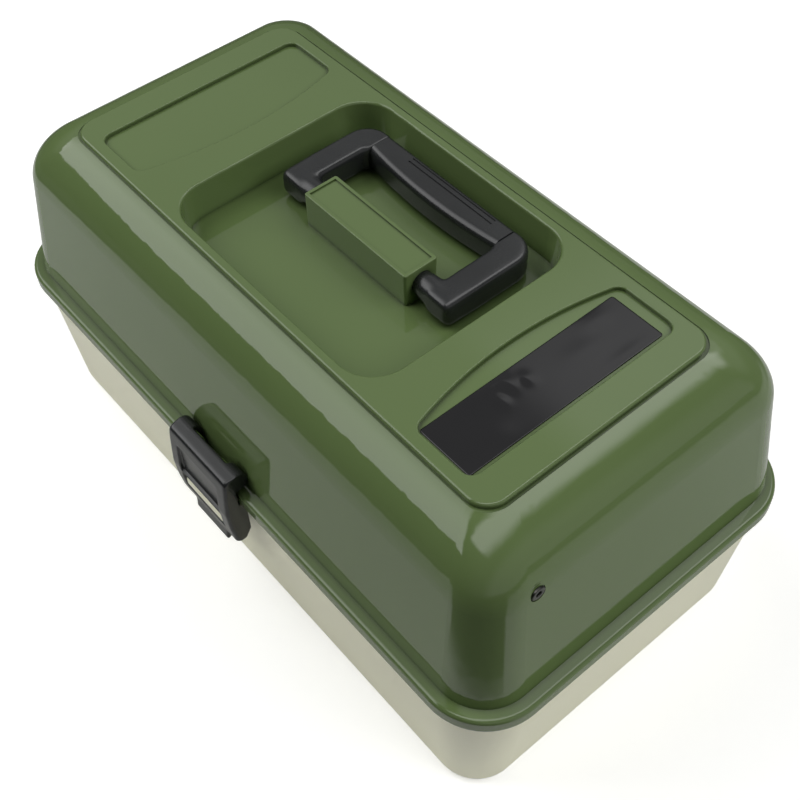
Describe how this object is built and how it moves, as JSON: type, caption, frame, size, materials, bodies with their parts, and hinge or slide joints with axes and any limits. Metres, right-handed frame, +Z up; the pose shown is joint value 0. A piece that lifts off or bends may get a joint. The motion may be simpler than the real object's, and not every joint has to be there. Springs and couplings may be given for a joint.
{
  "type": "cantilever tackle box",
  "caption": "Cantilever tackle box with a hinged domed lid, recessed swing handle, front latch and trays on arms that rise and spread as the lid opens.",
  "frame": {"origin": "middle of the flat bottom of the base tub, on the surface it stands on", "axes": "+X along the long side to the end with the label, -Y to the latch side, +Z up"},
  "size_m": [0.34, 0.1992, 0.162],
  "materials": {
    "lid_green": "glossy moulded",
    "body_beige": "satin moulded",
    "tray_beige": "satin moulded",
    "black_plastic": "satin moulded",
    "label_black": "glossy film",
    "zinc_steel": "zinc plated"
  },
  "bodies": {
    "base": {"base_tub": "body_beige", "catch_rib": "body_beige", "arm_bracket_front_left": "body_beige", "arm_bracket_front_right": "body_beige", "arm_bracket_rear_left": "body_beige", "arm_bracket_rear_right": "body_beige", "base_rivet_front_left": "zinc_steel", "base_rivet_front_right": "zinc_steel", "base_rivet_rear_left": "zinc_steel", "base_rivet_rear_right": "zinc_steel", "hinge_pin_left": "zinc_steel", "hinge_pin_right": "zinc_steel"},
    "lid": {"lid": "lid_green", "label_sticker": "label_black", "lid_rivet_left": "zinc_steel", "lid_rivet_right": "zinc_steel"},
    "handle": {"handle_frame": "black_plastic", "handle_grip": "black_plastic"},
    "latch": {"latch_lever": "black_plastic", "latch_pin": "zinc_steel"},
    "front_arms": {"front_arm_left": "zinc_steel", "front_arm_right": "zinc_steel"},
    "rear_arms": {"rear_arm_left": "zinc_steel", "rear_arm_right": "zinc_steel"},
    "lower_tray": {"lower_tray": "tray_beige", "lower_divider_long_1": "tray_beige", "lower_divider_short_1": "tray_beige", "lower_divider_short_2": "tray_beige", "lower_divider_short_3": "tray_beige", "lower_rivet_front_left": "zinc_steel", "lower_rivet_front_right": "zinc_steel", "lower_rivet_rear_left": "zinc_steel", "lower_rivet_rear_right": "zinc_steel"},
    "upper_tray": {"upper_tray": "tray_beige", "upper_divider_long_1": "tray_beige", "upper_divider_long_2": "tray_beige", "upper_divider_short_1": "tray_beige", "upper_divider_short_2": "tray_beige", "upper_divider_short_3": "tray_beige", "upper_divider_short_4": "tray_beige", "upper_divider_short_5": "tray_beige", "upper_divider_short_6": "tray_beige", "upper_rivet_front_left": "zinc_steel", "upper_rivet_front_right": "zinc_steel", "upper_rivet_rear_left": "zinc_steel", "upper_rivet_rear_right": "zinc_steel", "link_rivet_left": "zinc_steel", "link_rivet_right": "zinc_steel"},
    "lid_links": {"lid_link_left": "zinc_steel", "lid_link_right": "zinc_steel"}
  },
  "joints": [
    {"name": "lid_hinge", "type": "hinge", "parent": "base", "child": "lid", "pos_m": [0, 0.0962, 0.0745], "axis": [-1, 0, 0], "range_deg": [0, 95]},
    {"name": "handle_pivot", "type": "hinge", "parent": "lid", "child": "handle", "pos_m": [0, 0.001, 0.1543], "axis": [1, 0, 0], "range_deg": [0, 180]},
    {"name": "latch_pivot", "type": "hinge", "parent": "lid", "child": "latch", "pos_m": [0, -0.0907, 0.0879], "axis": [-1, 0, 0], "range_deg": [0, 100]},
    {"name": "front_arm_pivot", "type": "hinge", "parent": "base", "child": "front_arms", "pos_m": [0, 0.002, 0.07], "axis": [-1, 0, 0], "range_deg": [0, 62]},
    {"name": "rear_arm_pivot", "type": "hinge", "parent": "base", "child": "rear_arms", "pos_m": [0, 0.062, 0.07], "axis": [-1, 0, 0], "range_deg": [0, 62]},
    {"name": "lower_tray_pivot", "type": "hinge", "parent": "rear_arms", "child": "lower_tray", "pos_m": [0, 0.03148, 0.095], "axis": [-1, 0, 0], "range_deg": [-62, 0]},
    {"name": "upper_tray_pivot", "type": "hinge", "parent": "rear_arms", "child": "upper_tray", "pos_m": [0, -0.00436, 0.12435], "axis": [-1, 0, 0], "range_deg": [-62, 0]},
    {"name": "lid_link_pivot", "type": "hinge", "parent": "lid", "child": "lid_links", "pos_m": [0, -0.055, 0.138], "axis": [-1, 0, 0], "range_deg": [0, 19]}
  ],
  "couplings": [
    {"joint": "front_arm_pivot", "follows": "lid_hinge", "ratio": 0.644},
    {"joint": "rear_arm_pivot", "follows": "lid_hinge", "ratio": 0.644},
    {"joint": "lower_tray_pivot", "follows": "lid_hinge", "ratio": -0.644},
    {"joint": "upper_tray_pivot", "follows": "lid_hinge", "ratio": -0.644},
    {"joint": "lid_link_pivot", "follows": "lid_hinge", "ratio": 0.196}
  ]
}
